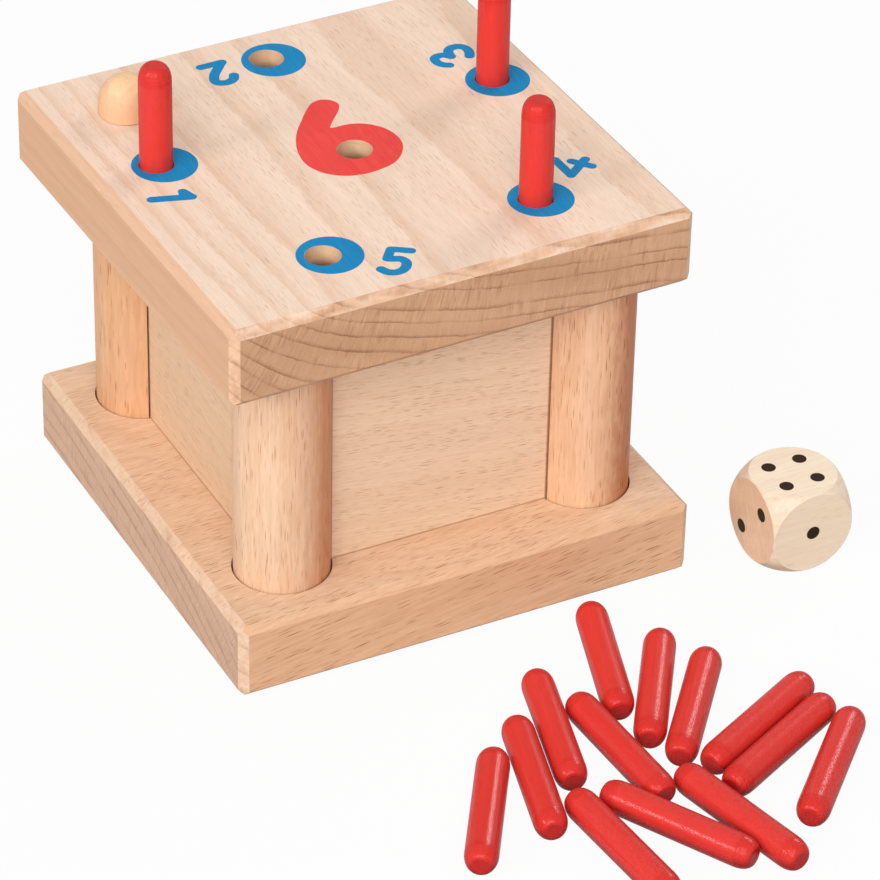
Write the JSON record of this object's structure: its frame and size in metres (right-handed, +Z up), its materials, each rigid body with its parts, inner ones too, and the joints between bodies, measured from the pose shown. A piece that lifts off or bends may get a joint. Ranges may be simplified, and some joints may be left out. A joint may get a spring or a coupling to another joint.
{
  "type": "wooden dice game",
  "caption": "Square wooden peg box on a bevelled base, with corner posts, a lid that swivels about a corner peg, numbered peg holes, round red pegs and a die.",
  "frame": {"origin": "centre of the base's underside, on the surface that the game stands on", "axes": "+Z up, +X to the right along the box's front edge, +Y from the front to the back"},
  "size_m": [0.1618, 0.2346, 0.1295],
  "materials": {
    "base_wood": "fine sanded beech",
    "lid_wood": "fine sanded beech",
    "post_wood": "fine sanded beech",
    "panel_wood": "fine sanded beech",
    "pale_wood": "smooth birch",
    "red_gloss": "gloss red paint",
    "die_wood": "smooth wood",
    "red_print": "flat red ink on beech",
    "blue_print": "flat blue ink on beech",
    "brown_print": "flat dark brown paint"
  },
  "bodies": {
    "box": {"base": "base_wood", "front_left_post": "post_wood", "front_right_post": "post_wood", "back_left_post": "post_wood", "back_right_post": "post_wood", "front_panel": "panel_wood", "back_panel": "panel_wood", "left_panel": "panel_wood", "right_panel": "panel_wood", "pivot_peg": "pale_wood"},
    "lid": {"lid": "lid_wood"},
    "lid_peg_1": {"lid_peg_1": "red_gloss"},
    "lid_peg_3": {"lid_peg_3": "red_gloss"},
    "lid_peg_4": {"lid_peg_4": "red_gloss"},
    "loose_peg_1": {"loose_peg_1": "red_gloss"},
    "loose_peg_2": {"loose_peg_2": "red_gloss"},
    "loose_peg_3": {"loose_peg_3": "red_gloss"},
    "loose_peg_4": {"loose_peg_4": "red_gloss"},
    "loose_peg_5": {"loose_peg_5": "red_gloss"},
    "loose_peg_6": {"loose_peg_6": "red_gloss"},
    "loose_peg_7": {"loose_peg_7": "red_gloss"},
    "loose_peg_8": {"loose_peg_8": "red_gloss"},
    "loose_peg_9": {"loose_peg_9": "red_gloss"},
    "loose_peg_10": {"loose_peg_10": "red_gloss"},
    "loose_peg_11": {"loose_peg_11": "red_gloss"},
    "loose_peg_12": {"loose_peg_12": "red_gloss"},
    "loose_peg_13": {"loose_peg_13": "red_gloss"},
    "die": {"die": "die_wood"}
  },
  "joints": [
    {"name": "lid_swivel", "type": "hinge", "parent": "box", "child": "lid", "pos_m": [-0.0431, 0.0399, 0.0921], "axis": [0, 0, 1], "continuous": true},
    {"name": "lid_peg_1_lift", "type": "slide", "parent": "lid", "child": "lid_peg_1", "axis": [0, 0, 1], "range_m": [0, 0.045]},
    {"name": "lid_peg_3_lift", "type": "slide", "parent": "lid", "child": "lid_peg_3", "axis": [0, 0, 1], "range_m": [0, 0.045]},
    {"name": "lid_peg_4_lift", "type": "slide", "parent": "lid", "child": "lid_peg_4", "axis": [0, 0, 1], "range_m": [0, 0.045]},
    {"name": "loose_peg_1_lift", "type": "slide", "parent": "box", "child": "loose_peg_1", "axis": [0, 0, 1], "range_m": [0, 0.14]},
    {"name": "loose_peg_2_lift", "type": "slide", "parent": "box", "child": "loose_peg_2", "axis": [0, 0, 1], "range_m": [0, 0.14]},
    {"name": "loose_peg_3_lift", "type": "slide", "parent": "box", "child": "loose_peg_3", "axis": [0, 0, 1], "range_m": [0, 0.14]},
    {"name": "loose_peg_4_lift", "type": "slide", "parent": "box", "child": "loose_peg_4", "axis": [0, 0, 1], "range_m": [0, 0.14]},
    {"name": "loose_peg_5_lift", "type": "slide", "parent": "box", "child": "loose_peg_5", "axis": [0, 0, 1], "range_m": [0, 0.14]},
    {"name": "loose_peg_6_lift", "type": "slide", "parent": "box", "child": "loose_peg_6", "axis": [0, 0, 1], "range_m": [0, 0.14]},
    {"name": "loose_peg_7_lift", "type": "slide", "parent": "box", "child": "loose_peg_7", "axis": [0, 0, 1], "range_m": [0, 0.14]},
    {"name": "loose_peg_8_lift", "type": "slide", "parent": "box", "child": "loose_peg_8", "axis": [0, 0, 1], "range_m": [0, 0.14]},
    {"name": "loose_peg_9_lift", "type": "slide", "parent": "box", "child": "loose_peg_9", "axis": [0, 0, 1], "range_m": [0, 0.14]},
    {"name": "loose_peg_10_lift", "type": "slide", "parent": "box", "child": "loose_peg_10", "axis": [0, 0, 1], "range_m": [0, 0.14]},
    {"name": "loose_peg_11_lift", "type": "slide", "parent": "box", "child": "loose_peg_11", "axis": [0, 0, 1], "range_m": [0, 0.14]},
    {"name": "loose_peg_12_lift", "type": "slide", "parent": "box", "child": "loose_peg_12", "axis": [0, 0, 1], "range_m": [0, 0.14]},
    {"name": "loose_peg_13_lift", "type": "slide", "parent": "box", "child": "loose_peg_13", "axis": [0, 0, 1], "range_m": [0, 0.14]},
    {"name": "die_lift", "type": "slide", "parent": "box", "child": "die", "axis": [0, 0, 1], "range_m": [0, 0.14]}
  ]
}
